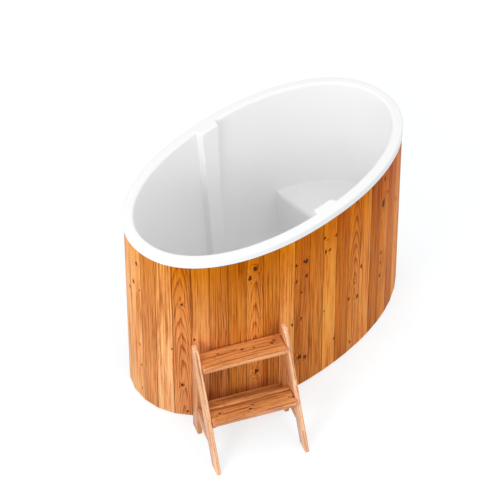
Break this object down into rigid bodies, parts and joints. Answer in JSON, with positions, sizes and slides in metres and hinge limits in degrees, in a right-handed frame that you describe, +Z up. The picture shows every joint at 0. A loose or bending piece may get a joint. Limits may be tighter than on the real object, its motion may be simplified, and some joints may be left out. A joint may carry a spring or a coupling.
{
  "type": "cold plunge tub",
  "caption": "Oval cold plunge tub with a moulded white liner and built-in seat, upright wooden cladding, a bottom drain with a ball valve, and free-standing wooden entry steps.",
  "frame": {"origin": "centre of the tub on the floor, in the middle of the underside of the middle bearer", "axes": "+X along the tub towards the end with the seat, +Y towards the side with the drain valve, +Z up; the steps stand on the -Y side"},
  "size_m": [1.7407, 1.399, 1.04],
  "materials": {
    "liner_white": "satin",
    "cladding_wood": "satin",
    "step_wood": "satin",
    "plywood": "matte",
    "foam": "matte",
    "grey_plastic": "satin",
    "rubber": "matte",
    "steel": "satin",
    "lever_red": "satin"
  },
  "bodies": {
    "tub": {"liner": "liner_white", "upper_hoop": "plywood", "lower_hoop": "plywood", "base_panel": "plywood", "foam_jacket": "foam", "floor_foam": "foam", "bearer_left": "plywood", "bearer_middle": "plywood", "bearer_right": "plywood", "seat_prop_front": "plywood", "seat_prop_rear": "plywood", "drain_strainer": "steel", "drain_body": "grey_plastic", "drain_seal": "rubber", "drain_nut": "grey_plastic", "drain_elbow": "grey_plastic", "drain_pipe": "grey_plastic", "valve_body": "grey_plastic", "hose_tail": "grey_plastic", "board_pair_01": "cladding_wood", "board_pair_02": "cladding_wood", "board_pair_03": "cladding_wood", "board_pair_04": "cladding_wood", "board_pair_05": "cladding_wood", "board_pair_06": "cladding_wood", "board_pair_07": "cladding_wood", "board_pair_08": "cladding_wood", "board_pair_09": "cladding_wood", "board_pair_10": "cladding_wood", "board_pair_11": "cladding_wood", "board_pair_12": "cladding_wood", "board_pair_13": "cladding_wood", "board_pair_14": "cladding_wood", "board_pair_15": "cladding_wood", "board_pair_16": "cladding_wood", "board_pair_17": "cladding_wood", "board_pair_18": "cladding_wood", "board_pair_19": "cladding_wood", "board_pair_20": "cladding_wood", "board_pair_21": "cladding_wood", "board_pair_22": "cladding_wood", "board_pair_23": "cladding_wood"},
    "valve_handle": {"valve_ball": "steel", "valve_stem": "steel", "valve_lever": "lever_red", "lever_nut": "steel"},
    "steps": {"stringer_left": "step_wood", "stringer_right": "step_wood", "rear_leg_left": "step_wood", "rear_leg_right": "step_wood", "side_rail_left": "step_wood", "side_rail_right": "step_wood", "upper_tread": "step_wood", "lower_tread": "step_wood", "lower_tread_slat": "step_wood", "back_rail": "step_wood", "upper_cleat_left": "step_wood", "upper_cleat_right": "step_wood", "lower_cleat_left": "step_wood", "lower_cleat_right": "step_wood"}
  },
  "joints": [
    {"name": "valve_turn", "type": "hinge", "parent": "tub", "child": "valve_handle", "pos_m": [-0.256, 0.50444, 0.036], "axis": [0, 0, 1], "range_deg": [0, 90]},
    {"name": "steps_slide", "type": "slide", "parent": "tub", "child": "steps", "axis": [-0.4289, -0.9033, 0], "range_m": [0, 0.6]}
  ]
}
